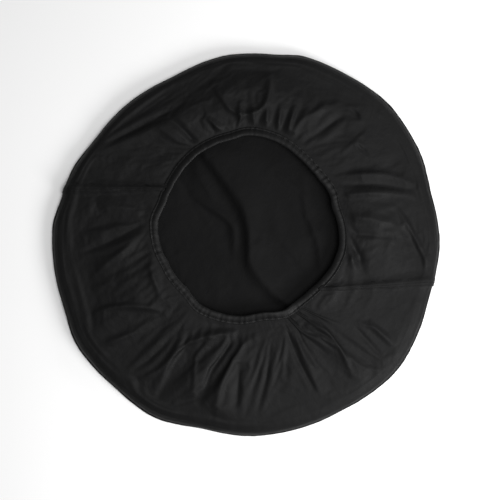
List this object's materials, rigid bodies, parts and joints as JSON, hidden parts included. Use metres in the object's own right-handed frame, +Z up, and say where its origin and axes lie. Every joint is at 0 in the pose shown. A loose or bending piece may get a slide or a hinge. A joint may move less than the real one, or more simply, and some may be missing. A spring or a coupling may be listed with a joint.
{
  "type": "spare tire cover",
  "caption": "Round soft cover for a spare wheel, lying empty: flat front panel, sewn band and a gathered elastic mouth that goes behind the tire.",
  "frame": {"origin": "centre of the front panel's outer face, which lies on the floor", "axes": "+Z up out of the mouth; +Y towards the side that the mouth lies off centre to; +X to the right of that"},
  "size_m": [0.69, 0.69, 0.0549],
  "materials": {
    "coated_fabric": "black coated cloth with a soft sheen",
    "casing_tape": "black woven binding tape, matte",
    "elastic": "black braided elastic",
    "thread": "black polyester sewing thread"
  },
  "bodies": {
    "cover": {"front_panel": "coated_fabric", "back_band_top": "coated_fabric", "back_band_bottom": "coated_fabric", "edge_seam_stitching": "thread", "join_stitching_right_upper": "thread", "join_stitching_right_lower": "thread", "join_stitching_left_upper": "thread", "join_stitching_left_lower": "thread"},
    "hem": {"hem_casing": "casing_tape", "hem_elastic": "elastic", "elastic_tack": "thread", "casing_stitching": "thread"}
  },
  "joints": [
    {"name": "hem_lift", "type": "slide", "parent": "cover", "child": "hem", "axis": [0, 0, 1], "range_m": [0, 0.1], "deforming": ["back_band_top", "back_band_bottom", "join_stitching_right_upper", "join_stitching_right_lower", "join_stitching_left_upper", "join_stitching_left_lower"]}
  ]
}
